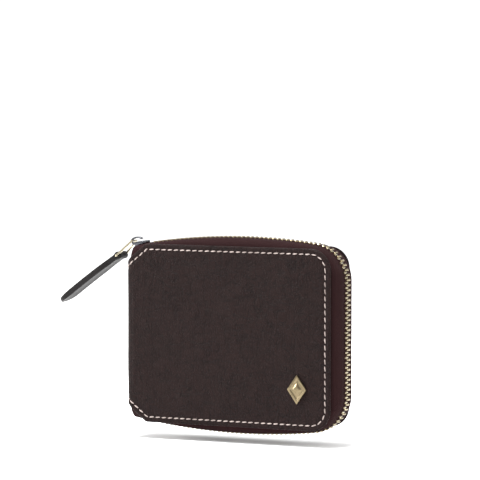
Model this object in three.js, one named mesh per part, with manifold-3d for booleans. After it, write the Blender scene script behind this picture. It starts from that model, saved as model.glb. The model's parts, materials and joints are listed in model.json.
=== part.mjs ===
// A zip around wallet: two stiff leather covers joined by a spine, a metal zip that runs round the
// other three sides, card pockets inside, and a slider with a link and a leather strap to pull it by.
//
// Millimetres, +Z up. The wallet stands upright and closed: the spine is at -X, the front cover faces
// -Y, and the slider is at the top of the spine, where the zip is fully closed. The origin is the
// centre of the back cover's outer face. Inside this file everything is drawn from the spine's bottom
// corner instead, with Y measured from the middle of the thickness, and one group moves it in place.

import * as THREE from 'three';
import { mergeVertices } from 'three/addons/utils/BufferGeometryUtils.js';
import Module from 'manifold-3d';

const wasm = await Module();
wasm.setup();

// ---- Driving dimensions ----

const WIDTH = 117;             // spine's outer face to the covers' free edge
const HEIGHT = 93;             // covers, bottom edge to top edge
const THICKNESS = 25;          // front cover's outer face to back cover's outer face
const HALF = THICKNESS / 2;
const CORNER_RADIUS = 11;      // the covers' two free corners
const CHAMFER_X = 11.5;        // the cut corners at the spine, along the top edge
const CHAMFER_Z = 9.1;         // and down the spine

const LEATHER = 1.6;           // cover leather with its turned edge
const LINING = 0.8;
const POCKET_LEATHER = 0.6;
const GAP = 0.3;               // between pieces that touch

// The zip's chain follows a long flat arc over the covers' top edges, a round corner and a straight side.
const CHAIN_RISE = 4.6;        // crest of the chain above the covers' edges
const CHAIN_CREST_X = 63;
const CHAIN_ARC_RADIUS = 350;
const CHAIN_CORNER_RADIUS = 20;
const CHAIN_SIDE_RISE = 4.5;   // chain beyond the free edge
const CHAIN_THICKNESS = 2.2;
const TOOTH_PITCH = 2.54;
const TOOTH_LENGTH = 1.3;      // along the chain
const CHAIN_EDGE_Y = 2.9;      // half the chain's width
const TOOTH_ROOT_Y = 2.1;      // inner face of the bar that carries the teeth
const TOOTH_HEAD_Y = 0.75;     // tip of a tooth, so the slider's post passes between the rows
const CHAIN_START_X = 9.5;

const TAPE_THICKNESS = 0.6;
const TAPE_START_X = 7.5;
const TAPE_EDGE_Y = CHAIN_EDGE_Y + GAP;
const TAPE_FLAT_Y = 4.9;       // the tape is level as far as this, so that it passes through the slider
const TAPE_SEAM_Y = 10.2;      // where it is sewn behind the cover's edge
const TAPE_SEAM_INSET = 2.2;
const TAPE_DOME_STEPS = 5;

const FOLD_RADIUS = 3;         // the leather's bend between a cover and the spine
const SPINE_END_Z = 9.6;       // the spine's ends, below and above the covers' edges
const COVER_START_X = LEATHER / 2 + FOLD_RADIUS;
const SPINE_EDGE_Y = HALF - LEATHER / 2 - FOLD_RADIUS;

const LINING_INSET = 3.8;
const BILL_SPACE = 2.4;        // banknotes lie between a lining and its bill wall
const POCKET_START_X = 6.5;
const POCKET_INSET = 4.5;
const POCKET_TOP_STEP = 11;    // each pocket's mouth is that much lower than the one behind it
const POCKET_FIRST_TOP = HEIGHT - 14;

const EMBLEM_X = 99;
const EMBLEM_Z = 21.1;
const EMBLEM_WIDTH = 10.5;
const EMBLEM_HEIGHT = 14.7;
const EMBLEM_THICKNESS = 1.2;
const EMBLEM_BEVEL = 0.5;
const EMBLEM_SHANK_RADIUS = 1.05;
const EMBLEM_HOLE_RADIUS = 1.35;
const EMBLEM_WASHER_RADIUS = 3.6;
const EMBLEM_WASHER_THICKNESS = 0.4;

const SLIDER_X = 2.4;          // slider's centre at rest
const SLIDER_TAIL = -3.1;      // its ends, along the chain from the centre
const SLIDER_NOSE = 4.1;
const SLIDER_CHANNEL = 1.35;   // half the height of the channel round the chain
const SLIDER_PLATE = 0.8;
const SLIDER_INSIDE_Y = 3.15;
const SLIDER_OUTSIDE_Y = 4.2;
const SLIDER_SLIT = 0.65;      // half the height of the slits that the tapes leave by
const SLIDER_POST_Y = 0.55;
const SLIDER_POST_LENGTH = 2.4;

const BRIDGE_HALF_WIDTH = 1.1;
const BRIDGE_THICKNESS = 0.8;
const LINK_BAR_T = -3.4;      // the link's upper bar in the slider's own frame, along and above the chain
const LINK_BAR_N = 2.95;
const LINK_BAR_RADIUS = 0.5;
const LINK_LENGTH = 11;        // upper bar to lower bar
const LINK_THICKNESS = 1;
const LINK_TOP_Y = 3;          // half widths over the rails at the two bars
const LINK_FOOT_Y = 6;
const LINK_RAIL = 1.1;
const LINK_ANGLE = 45;         // degrees below level, towards -X
const STRAP_ANGLE = 36;
const STRAP_LENGTH = 43.5;
const STRAP_HALF_WIDTH = 4.8;
const STRAP_NECK_HALF_WIDTH = 4;   // narrower where it passes through the link
const STRAP_NECK_END = 6;
const STRAP_SHOULDER = 14;
const STRAP_THICKNESS = 3.2;   // two layers of leather
const STRAP_EYE_RADIUS = 1.75;
const STRAP_EYE_HOLE = 0.85;

const CURVE_SEGMENTS = 8;

const COLOURS = {
  leather: new THREE.MeshStandardMaterial({ color: 0x3a2c2a, roughness: 0.55, metalness: 0 }),
  lining: new THREE.MeshStandardMaterial({ color: 0x5b4036, roughness: 0.8, metalness: 0 }),
  tape: new THREE.MeshStandardMaterial({ color: 0x3b2426, roughness: 0.85, metalness: 0 }),
  brass: new THREE.MeshStandardMaterial({ color: 0xc9b07a, roughness: 0.3, metalness: 1 }),
  gunmetal: new THREE.MeshStandardMaterial({ color: 0x55585c, roughness: 0.35, metalness: 1 }),
};

// ---- Helpers ----

const wallet = new THREE.Group();

/** Adds one named piece. Each has a material of its own. */
function addPiece(name, geometry, colour, parent = wallet) {
  const mesh = new THREE.Mesh(geometry, COLOURS[colour].clone());
  mesh.name = name;
  parent.add(mesh);
  return mesh;
}

/** A closed geometry as a manifold solid. */
function toSolid(geometry) {
  const bare = geometry.clone();
  bare.deleteAttribute('normal');
  bare.deleteAttribute('uv');
  const merged = mergeVertices(bare);
  const vertProperties = new Float32Array(merged.attributes.position.array);
  const triVerts = new Uint32Array(merged.index.array);
  return new wasm.Manifold(new wasm.Mesh({ numProp: 3, vertProperties, triVerts }));
}

/** A manifold solid as a geometry. */
function toGeometry(solid) {
  const mesh = solid.getMesh();
  const geometry = new THREE.BufferGeometry();
  geometry.setAttribute('position', new THREE.BufferAttribute(mesh.vertProperties, mesh.numProp));
  geometry.setIndex(new THREE.BufferAttribute(mesh.triVerts, 1));
  return geometry;
}

/** A closed geometry from corner points and triangles. mirrored turns the faces round. */
function closedGeometry(points, triangles, mirrored) {
  const geometry = new THREE.BufferGeometry().setFromPoints(points);
  const turned = triangles.map(([a, b, c]) => (mirrored ? [a, c, b] : [a, b, c]));
  geometry.setIndex(turned.flat());
  return geometry;
}

/** Extrudes a shape drawn in X and Z from y0 to y1. */
function extrudeAcross(shape, y0, y1, segments = CURVE_SEGMENTS) {
  const options = { depth: y1 - y0, bevelEnabled: false, curveSegments: segments };
  const geometry = new THREE.ExtrudeGeometry(shape, options);
  geometry.rotateX(Math.PI / 2);
  geometry.translate(0, y1, 0);
  return geometry;
}

/** The two y limits of a layer between two distances from the middle, on one side of the wallet. */
function layer(side, near, far) {
  return side > 0 ? [near, far] : [-far, -near];
}

function circle(x, z, radius) {
  return new THREE.Path().absarc(x, z, radius, 0, 2 * Math.PI);
}

// ---- Covers, linings and pockets ----

/** A cover's outline, drawn in by inset, from startX: cut corners at the spine, round ones opposite. */
function coverShape(startX, inset) {
  const slope = CHAMFER_Z / CHAMFER_X;
  const cutShift = inset * Math.hypot(1, slope);
  const cutZ = (x) => CHAMFER_Z - slope * x + cutShift;
  const cutEndX = (CHAMFER_Z + cutShift - inset) / slope;
  const radius = CORNER_RADIUS - inset;
  const cornerX = WIDTH - CORNER_RADIUS;
  const shape = new THREE.Shape();
  shape.moveTo(startX, cutZ(startX));
  shape.lineTo(cutEndX, inset);
  shape.lineTo(cornerX, inset);
  shape.absarc(cornerX, CORNER_RADIUS, radius, -Math.PI / 2, 0);
  shape.absarc(cornerX, HEIGHT - CORNER_RADIUS, radius, 0, Math.PI / 2);
  shape.lineTo(cutEndX, HEIGHT - inset);
  shape.lineTo(startX, HEIGHT - cutZ(startX));
  shape.closePath();
  return shape;
}

/** A pocket's outline, round at the free bottom corner, with its mouth at topZ. */
function pocketShape(topZ) {
  const radius = CORNER_RADIUS - POCKET_INSET;
  const endX = WIDTH - POCKET_INSET;
  const shape = new THREE.Shape();
  shape.moveTo(CHAMFER_X, POCKET_INSET);
  shape.lineTo(endX - radius, POCKET_INSET);
  shape.absarc(endX - radius, POCKET_INSET + radius, radius, -Math.PI / 2, 0);
  shape.lineTo(endX, topZ);
  shape.lineTo(POCKET_START_X, topZ);
  shape.lineTo(POCKET_START_X, CHAMFER_Z);
  shape.closePath();
  return shape;
}

const COVER_INSIDE = HALF - LEATHER;
const LINING_OUTSIDE = COVER_INSIDE - GAP;
const LINING_INSIDE = LINING_OUTSIDE - LINING;
const BILL_WALL_OUTSIDE = LINING_INSIDE - BILL_SPACE;

/** One cover with its lining, bill wall and pockets. pocketNames run from the outermost inwards. */
function addCover(name, side, pocketNames) {
  const cover = coverShape(COVER_START_X, 0);
  const lining = coverShape(COVER_START_X + GAP, LINING_INSET);
  if (side < 0) {
    cover.holes.push(circle(EMBLEM_X, EMBLEM_Z, EMBLEM_HOLE_RADIUS));
    lining.holes.push(circle(EMBLEM_X, EMBLEM_Z, EMBLEM_WASHER_RADIUS + GAP));
  }
  addPiece(`${name}_cover`, extrudeAcross(cover, ...layer(side, COVER_INSIDE, HALF)), 'leather');
  addPiece(`${name}_lining`, extrudeAcross(lining, ...layer(side, LINING_INSIDE, LINING_OUTSIDE)), 'lining');

  let outside = BILL_WALL_OUTSIDE;
  const wall = coverShape(POCKET_START_X, POCKET_INSET);
  const wallLayer = layer(side, outside - POCKET_LEATHER, outside);
  addPiece(`${name}_bill_wall`, extrudeAcross(wall, ...wallLayer), 'leather');
  pocketNames.forEach((pocketName, index) => {
    outside -= POCKET_LEATHER + GAP;
    const shape = pocketShape(POCKET_FIRST_TOP - index * POCKET_TOP_STEP);
    const pocketLayer = layer(side, outside - POCKET_LEATHER, outside);
    addPiece(pocketName, extrudeAcross(shape, ...pocketLayer), 'leather');
  });
}

/** The strip of cover leather at the spine, and its lining. */
function addSpine() {
  const top = HEIGHT - SPINE_END_Z;
  const cover = new THREE.BoxGeometry(LEATHER, 2 * SPINE_EDGE_Y, top - SPINE_END_Z);
  cover.translate(LEATHER / 2, 0, HEIGHT / 2);
  addPiece('spine_cover', cover, 'leather');

  const liningEdge = SPINE_EDGE_Y - GAP;
  const lining = new THREE.BoxGeometry(LINING, 2 * liningEdge, top - SPINE_END_Z - 2 * GAP);
  lining.translate(LEATHER + GAP + LINING / 2, 0, HEIGHT / 2);
  addPiece('spine_lining', lining, 'lining');
}

// ---- Zip: the path of its chain ----

const ARC_RADIUS = CHAIN_ARC_RADIUS - CHAIN_THICKNESS / 2;
const ARC_CENTRE_Z = HEIGHT + CHAIN_RISE - CHAIN_ARC_RADIUS;
const TURN_RADIUS = CHAIN_CORNER_RADIUS - CHAIN_THICKNESS / 2;
const TURN_CENTRE_X = WIDTH + CHAIN_SIDE_RISE - CHAIN_CORNER_RADIUS;
const TURN_CENTRE_Z = ARC_CENTRE_Z
  + Math.sqrt((ARC_RADIUS - TURN_RADIUS) ** 2 - (TURN_CENTRE_X - CHAIN_CREST_X) ** 2);

/** Angle of the long arc, from its crest, at a given x. Positive towards the free corner. */
function arcAngle(x) {
  return Math.asin((x - CHAIN_CREST_X) / ARC_RADIUS);
}

const ARC_END = Math.asin((TURN_CENTRE_X - CHAIN_CREST_X) / (ARC_RADIUS - TURN_RADIUS));
const TURN_LENGTH = TURN_RADIUS * (Math.PI / 2 - ARC_END);
const SIDE_LENGTH = TURN_CENTRE_Z - HEIGHT / 2;

/** The upper half of the chain's centre line, from startX to the middle of the free side.
 *  at(s) gives the point in X and Z, the outward direction, and where the cover's edge is opposite. */
function chainPath(startX) {
  const startAngle = arcAngle(startX);
  const arcLength = ARC_RADIUS * (ARC_END - startAngle);
  const halfLength = arcLength + TURN_LENGTH + SIDE_LENGTH;
  const edgeRadius = CORNER_RADIUS - TAPE_SEAM_INSET;
  const edgeCornerX = WIDTH - CORNER_RADIUS;
  const edgeCornerZ = HEIGHT - CORNER_RADIUS;

  function onArc(s) {
    const angle = startAngle + s / ARC_RADIUS;
    const out = new THREE.Vector2(Math.sin(angle), Math.cos(angle));
    const point = out.clone().multiplyScalar(ARC_RADIUS).add(new THREE.Vector2(CHAIN_CREST_X, ARC_CENTRE_Z));
    const edgeX = THREE.MathUtils.mapLinear(s, 0, arcLength, startX, edgeCornerX);
    const cut = Math.max(0, CHAMFER_Z * (1 - edgeX / CHAMFER_X));
    return { point, out, edge: new THREE.Vector2(edgeX, HEIGHT - TAPE_SEAM_INSET - cut) };
  }

  function onTurn(s) {
    const angle = ARC_END + s / TURN_RADIUS;
    const out = new THREE.Vector2(Math.sin(angle), Math.cos(angle));
    const point = out.clone().multiplyScalar(TURN_RADIUS).add(new THREE.Vector2(TURN_CENTRE_X, TURN_CENTRE_Z));
    const edgeAngle = THREE.MathUtils.mapLinear(s, 0, TURN_LENGTH, 0, Math.PI / 2);
    const edge = new THREE.Vector2(Math.sin(edgeAngle), Math.cos(edgeAngle)).multiplyScalar(edgeRadius);
    return { point, out, edge: edge.add(new THREE.Vector2(edgeCornerX, edgeCornerZ)) };
  }

  function onSide(s) {
    const share = s / SIDE_LENGTH;
    const pointX = TURN_CENTRE_X + TURN_RADIUS;
    const point = new THREE.Vector2(pointX, THREE.MathUtils.lerp(TURN_CENTRE_Z, HEIGHT / 2, share));
    const edgeZ = THREE.MathUtils.lerp(edgeCornerZ, HEIGHT / 2, share);
    return { point, out: new THREE.Vector2(1, 0), edge: new THREE.Vector2(edgeCornerX + edgeRadius, edgeZ) };
  }

  function upper(s) {
    if (s < arcLength) {
      return onArc(s);
    }
    if (s < arcLength + TURN_LENGTH) {
      return onTurn(s - arcLength);
    }
    return onSide(s - arcLength - TURN_LENGTH);
  }

  /** The lower half mirrors the upper one about the wallet's middle height. */
  function at(s) {
    if (s <= halfLength) {
      return upper(s);
    }
    const mirrored = upper(2 * halfLength - s);
    const flip = (v) => new THREE.Vector2(v.x, HEIGHT - v.y);
    const out = new THREE.Vector2(mirrored.out.x, -mirrored.out.y);
    return { point: flip(mirrored.point), out, edge: flip(mirrored.edge) };
  }

  return { length: 2 * halfLength, arcLength, at };
}

// ---- Zip: tapes, teeth and bottom stop ----

/** The tape's middle surface at one place on the chain, from the chain to the seam behind the cover:
 *  level beside the chain, then round and down, as a quarter of an ellipse. */
function tapeProfile(place, side) {
  const profile = [[TAPE_EDGE_Y, 0], [TAPE_FLAT_Y, 0]];
  for (let step = 1; step <= TAPE_DOME_STEPS; step += 1) {
    const angle = (step / TAPE_DOME_STEPS) * (Math.PI / 2);
    profile.push([TAPE_FLAT_Y + (TAPE_SEAM_Y - TAPE_FLAT_Y) * Math.sin(angle), 1 - Math.cos(angle)]);
  }
  return profile.map(([y, share]) => {
    const flat = place.point.clone().lerp(place.edge, share);
    return new THREE.Vector3(flat.x, side * y, flat.y);
  });
}

/** The two faces of a sheet at one station, half its thickness to either side of a profile. */
function sheetFaces(profile, forward) {
  const faces = { outer: [], inner: [] };
  profile.forEach((point, index) => {
    const before = profile[Math.max(index - 1, 0)];
    const after = profile[Math.min(index + 1, profile.length - 1)];
    const normal = after.clone().sub(before).cross(forward).normalize();
    faces.outer.push(point.clone().addScaledVector(normal, TAPE_THICKNESS / 2));
    faces.inner.push(point.clone().addScaledVector(normal, -TAPE_THICKNESS / 2));
  });
  return faces;
}

/** Places along the tape: a few on the long arcs, more round the corners. */
function tapeStations(path) {
  const ARC_STEPS = 9;
  const TURN_STEPS = 7;
  const SIDE_STEPS = 2;
  const cutEnd = CHAMFER_X - TAPE_START_X;
  const marks = [0, cutEnd, path.arcLength, path.arcLength + TURN_LENGTH, path.length / 2];
  const steps = [1, ARC_STEPS, TURN_STEPS, SIDE_STEPS];
  const half = [0];
  steps.forEach((count, span) => {
    for (let step = 1; step <= count; step += 1) {
      half.push(THREE.MathUtils.lerp(marks[span], marks[span + 1], step / count));
    }
  });
  const mirrored = half.slice(0, -1).reverse().map((s) => path.length - s);
  return [...half, ...mirrored];
}

/** One zip tape: a bent strip of webbing, closed all round. */
function tapeGeometry(side) {
  const path = chainPath(TAPE_START_X);
  const points = [];
  const rings = tapeStations(path).map((s) => {
    const place = path.at(s);
    const forward = new THREE.Vector3(place.out.y, 0, -place.out.x).multiplyScalar(-side);
    const faces = sheetFaces(tapeProfile(place, side), forward);
    const ring = [...faces.outer, ...faces.inner.reverse()];
    const first = points.length;
    points.push(...ring);
    return ring.map((_, index) => first + index);
  });
  const count = rings[0].length;
  const triangles = [];
  for (let r = 0; r + 1 < rings.length; r += 1) {
    for (let i = 0; i < count; i += 1) {
      const j = (i + 1) % count;
      triangles.push([rings[r][i], rings[r + 1][i], rings[r + 1][j]]);
      triangles.push([rings[r][i], rings[r + 1][j], rings[r][j]]);
    }
  }
  const last = rings[rings.length - 1];
  for (let i = 0; i + 1 < count / 2; i += 1) {
    const k = count - 1 - i;
    triangles.push([rings[0][i], rings[0][i + 1], rings[0][k - 1]]);
    triangles.push([rings[0][i], rings[0][k - 1], rings[0][k]]);
    triangles.push([last[i], last[k - 1], last[i + 1]]);
    triangles.push([last[i], last[k], last[k - 1]]);
  }
  return closedGeometry(points, triangles, side < 0);
}

/** One row of teeth on the bar that holds them, as a comb bent along the chain. The rows of the two
 *  sides are half a pitch apart. */
function teethGeometry(side) {
  const path = chainPath(CHAIN_START_X);
  const teeth = Math.floor(path.length / TOOTH_PITCH) - 1;
  const firstTooth = side > 0 ? TOOTH_PITCH / 4 : (3 * TOOTH_PITCH) / 4;
  const stations = [];
  for (let tooth = 0; tooth < teeth; tooth += 1) {
    const start = firstTooth + tooth * TOOTH_PITCH;
    stations.push(start, start + TOOTH_LENGTH);
  }
  const points = [];
  const DEPTHS = [CHAIN_EDGE_Y, TOOTH_ROOT_Y, TOOTH_HEAD_Y];
  stations.forEach((s) => {
    const { point, out } = path.at(s);
    DEPTHS.forEach((depth) => {
      [1, -1].forEach((face) => {
        const flat = point.clone().addScaledVector(out, (face * CHAIN_THICKNESS) / 2);
        points.push(new THREE.Vector3(flat.x, side * depth, flat.y));
      });
    });
  });
  const stride = 2 * DEPTHS.length;
  const corner = (station, depth, face) => station * stride + depth * 2 + (face > 0 ? 0 : 1);
  const triangles = [];
  const quad = (a, b, c, d) => triangles.push([a, b, c], [a, c, d]);
  const EDGE = 0;
  const ROOT = 1;
  const HEAD = 2;
  const endWall = (k, depth, turned) => {
    const upper = [corner(k, depth, 1), corner(k, depth + 1, 1)];
    const lower = [corner(k, depth + 1, -1), corner(k, depth, -1)];
    const wall = [...upper, ...lower];
    quad(...(turned ? wall.reverse() : wall));
  };
  for (let k = 0; k + 1 < stations.length; k += 1) {
    const isTooth = k % 2 === 0;
    const inner = isTooth ? HEAD : ROOT;
    quad(corner(k, EDGE, 1), corner(k, EDGE, -1), corner(k + 1, EDGE, -1), corner(k + 1, EDGE, 1));
    quad(corner(k, inner, -1), corner(k, inner, 1), corner(k + 1, inner, 1), corner(k + 1, inner, -1));
    for (let depth = EDGE; depth < inner; depth += 1) {
      const top = [corner(k, depth + 1, 1), corner(k, depth, 1)];
      quad(...top, corner(k + 1, depth, 1), corner(k + 1, depth + 1, 1));
      const bottom = [corner(k, depth, -1), corner(k, depth + 1, -1)];
      quad(...bottom, corner(k + 1, depth + 1, -1), corner(k + 1, depth, -1));
    }
    if (isTooth) {
      endWall(k, ROOT, false);
      endWall(k + 1, ROOT, true);
    }
  }
  endWall(0, EDGE, false);
  endWall(stations.length - 1, EDGE, true);
  return closedGeometry(points, triangles, side > 0);
}

/** The metal box that joins the two rows at the closed end of the zip, below the spine. */
function addBottomStop() {
  const LENGTH = 1.6;
  const stopX = CHAIN_START_X - GAP - LENGTH / 2;
  const path = chainPath(stopX);
  const { point, out } = path.at(path.length);
  const stop = new THREE.BoxGeometry(LENGTH, 2 * CHAIN_EDGE_Y, CHAIN_THICKNESS);
  const piece = addPiece('zip_bottom_stop', stop, 'brass');
  piece.position.set(point.x, 0, point.y);
  piece.rotation.y = Math.atan2(out.x, out.y);
}

// ---- Emblem ----

/** A plain lozenge-shaped stud, its shank through the leather, and the washer it is riveted over. */
function addEmblem() {
  const lozenge = new THREE.Shape();
  lozenge.moveTo(0, -EMBLEM_HEIGHT / 2 + EMBLEM_BEVEL);
  lozenge.lineTo(EMBLEM_WIDTH / 2 - EMBLEM_BEVEL, 0);
  lozenge.lineTo(0, EMBLEM_HEIGHT / 2 - EMBLEM_BEVEL);
  lozenge.lineTo(-EMBLEM_WIDTH / 2 + EMBLEM_BEVEL, 0);
  lozenge.closePath();
  const head = new THREE.ExtrudeGeometry(lozenge, {
    depth: EMBLEM_THICKNESS - 2 * EMBLEM_BEVEL,
    bevelSize: EMBLEM_BEVEL,
    bevelThickness: EMBLEM_BEVEL,
    bevelSegments: 1,
  });
  head.rotateX(Math.PI / 2);
  const headBack = -HALF - GAP;
  head.translate(EMBLEM_X, headBack - EMBLEM_BEVEL, EMBLEM_Z);

  const shankEnd = -(LINING_INSIDE + GAP);
  const shankLength = shankEnd - headBack + EMBLEM_BEVEL;
  const shank = new THREE.CylinderGeometry(EMBLEM_SHANK_RADIUS, EMBLEM_SHANK_RADIUS, shankLength, 12);
  shank.translate(EMBLEM_X, shankEnd - shankLength / 2, EMBLEM_Z);
  addPiece('emblem_stud', toGeometry(toSolid(head).add(toSolid(shank))), 'brass');

  const washer = new THREE.Shape().absarc(EMBLEM_X, EMBLEM_Z, EMBLEM_WASHER_RADIUS, 0, 2 * Math.PI);
  washer.holes.push(circle(EMBLEM_X, EMBLEM_Z, EMBLEM_HOLE_RADIUS));
  const washerFar = -(COVER_INSIDE - GAP);
  const washerGeometry = extrudeAcross(washer, washerFar, washerFar + EMBLEM_WASHER_THICKNESS);
  addPiece('emblem_washer', washerGeometry, 'brass');
}

// ---- Slider and pull ----

/** A group whose X lies along the chain and Z out of it, at the slider's place at rest. */
function sliderFrame() {
  const angle = arcAngle(SLIDER_X);
  const frame = new THREE.Group();
  frame.position.set(SLIDER_X, 0, ARC_CENTRE_Z + ARC_RADIUS * Math.cos(angle));
  frame.rotation.y = angle;
  wallet.add(frame);
  return frame;
}

/** Half of the slider's cross-section in Y and Z: a plate with a flange down each side. */
function plateSection() {
  const top = SLIDER_CHANNEL + SLIDER_PLATE;
  const section = new THREE.Shape();
  section.moveTo(-SLIDER_OUTSIDE_Y, SLIDER_SLIT);
  section.lineTo(-SLIDER_INSIDE_Y, SLIDER_SLIT);
  section.lineTo(-SLIDER_INSIDE_Y, SLIDER_CHANNEL);
  section.lineTo(SLIDER_INSIDE_Y, SLIDER_CHANNEL);
  section.lineTo(SLIDER_INSIDE_Y, SLIDER_SLIT);
  section.lineTo(SLIDER_OUTSIDE_Y, SLIDER_SLIT);
  section.lineTo(SLIDER_OUTSIDE_Y, top - SLIDER_PLATE / 2);
  section.lineTo(SLIDER_OUTSIDE_Y - SLIDER_PLATE, top);
  section.lineTo(-SLIDER_OUTSIDE_Y + SLIDER_PLATE, top);
  section.lineTo(-SLIDER_OUTSIDE_Y, top - SLIDER_PLATE / 2);
  section.closePath();
  return section;
}

/** The die-cast body: an upper and a lower plate joined by the post that parts the two rows. */
function addSliderBody(frame) {
  const section = plateSection();
  const length = SLIDER_NOSE - SLIDER_TAIL;
  const plate = new THREE.ExtrudeGeometry(section, { depth: length, bevelEnabled: false });
  plate.rotateX(Math.PI / 2);
  plate.rotateZ(Math.PI / 2);
  plate.translate(SLIDER_TAIL, 0, 0);
  const upper = toSolid(plate);
  const lowerGeometry = plate.clone().rotateX(Math.PI);
  const postHeight = 2 * SLIDER_CHANNEL + SLIDER_PLATE;
  const post = new THREE.BoxGeometry(SLIDER_POST_LENGTH, 2 * SLIDER_POST_Y, postHeight);
  post.translate(SLIDER_TAIL + SLIDER_POST_LENGTH / 2, 0, 0);

  const plan = new THREE.Shape();
  plan.moveTo(SLIDER_TAIL, -SLIDER_OUTSIDE_Y + SLIDER_PLATE);
  plan.lineTo(SLIDER_TAIL + SLIDER_PLATE, -SLIDER_OUTSIDE_Y);
  plan.lineTo(SLIDER_NOSE - SLIDER_PLATE, -SLIDER_OUTSIDE_Y);
  plan.lineTo(SLIDER_NOSE, -SLIDER_OUTSIDE_Y + SLIDER_PLATE);
  plan.lineTo(SLIDER_NOSE, SLIDER_OUTSIDE_Y - SLIDER_PLATE);
  plan.lineTo(SLIDER_NOSE - SLIDER_PLATE, SLIDER_OUTSIDE_Y);
  plan.lineTo(SLIDER_TAIL + SLIDER_PLATE, SLIDER_OUTSIDE_Y);
  plan.lineTo(SLIDER_TAIL, SLIDER_OUTSIDE_Y - SLIDER_PLATE);
  plan.closePath();
  const planHeight = 2 * (SLIDER_CHANNEL + SLIDER_PLATE) + GAP;
  const trim = new THREE.ExtrudeGeometry(plan, { depth: planHeight, bevelEnabled: false });
  trim.translate(0, 0, -planHeight / 2);

  const body = upper.add(toSolid(lowerGeometry)).add(toSolid(post)).intersect(toSolid(trim));
  addPiece('slider_body', toGeometry(body), 'gunmetal', frame);
}

/** The open hook on the slider's back that the link hangs in: a bent strip, fixed at the tail end. */
function addBridge(frame) {
  const OUTER_X = 3.8;
  const OUTER_Z = 2.3;
  const CENTRE = new THREE.Vector2(-1.6, SLIDER_CHANNEL + SLIDER_PLATE + 0.4);
  const TIP_ANGLE = 20;
  const HEEL_ANGLE = 195;
  const STEPS = 10;
  const outer = [];
  const inner = [];
  for (let step = 0; step <= STEPS; step += 1) {
    const angle = THREE.MathUtils.degToRad(THREE.MathUtils.lerp(TIP_ANGLE, HEEL_ANGLE, step / STEPS));
    const ring = new THREE.Vector2(Math.cos(angle), Math.sin(angle));
    outer.push(new THREE.Vector2(CENTRE.x + OUTER_X * ring.x, CENTRE.y + OUTER_Z * ring.y));
    const innerX = OUTER_X - BRIDGE_THICKNESS;
    const innerZ = OUTER_Z - BRIDGE_THICKNESS;
    inner.push(new THREE.Vector2(CENTRE.x + innerX * ring.x, CENTRE.y + innerZ * ring.y));
  }
  const footZ = SLIDER_CHANNEL + GAP;
  const heelX = SLIDER_TAIL - GAP;
  const foot = [new THREE.Vector2(heelX - BRIDGE_THICKNESS / 2, footZ), new THREE.Vector2(heelX, footZ)];
  const heel = new THREE.Vector2(heelX, inner[STEPS].y);
  const outline = new THREE.Shape([...outer, ...foot, heel, ...inner.reverse()]);
  const strip = extrudeAcross(outline, -BRIDGE_HALF_WIDTH, BRIDGE_HALF_WIDTH);
  addPiece('slider_bridge', strip, 'gunmetal', frame);
}

/** A round bar across the wallet. */
function crossBar(x, halfLength) {
  const bar = new THREE.CylinderGeometry(LINK_BAR_RADIUS, LINK_BAR_RADIUS, 2 * halfLength, 10);
  bar.translate(x, 0, 0);
  return bar;
}

/** The link: a flat ring, wider at its lower bar, where the strap is looped. In its own frame X runs
 *  from the upper bar to the lower one. */
function addLink(frame) {
  const shape = new THREE.Shape();
  shape.moveTo(0, -LINK_TOP_Y);
  shape.lineTo(LINK_LENGTH, -LINK_FOOT_Y);
  shape.lineTo(LINK_LENGTH, LINK_FOOT_Y);
  shape.lineTo(0, LINK_TOP_Y);
  shape.closePath();
  const window = new THREE.Shape();
  const overhang = 1;
  window.moveTo(-overhang, -LINK_TOP_Y + LINK_RAIL);
  window.lineTo(LINK_LENGTH + overhang, -LINK_FOOT_Y + LINK_RAIL);
  window.lineTo(LINK_LENGTH + overhang, LINK_FOOT_Y - LINK_RAIL);
  window.lineTo(-overhang, LINK_TOP_Y - LINK_RAIL);
  window.closePath();
  const plate = new THREE.ExtrudeGeometry(shape, { depth: LINK_THICKNESS, bevelEnabled: false });
  plate.translate(0, 0, -LINK_THICKNESS / 2);
  const hole = new THREE.ExtrudeGeometry(window, { depth: 2 * LINK_THICKNESS, bevelEnabled: false });
  hole.translate(0, 0, -LINK_THICKNESS);
  const rails = toSolid(plate).subtract(toSolid(hole));
  const upperBar = toSolid(crossBar(0, LINK_TOP_Y));
  const lowerBar = toSolid(crossBar(LINK_LENGTH, LINK_FOOT_Y));
  addPiece('pull_link', toGeometry(rails.add(upperBar).add(lowerBar)), 'brass', frame);
}

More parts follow.
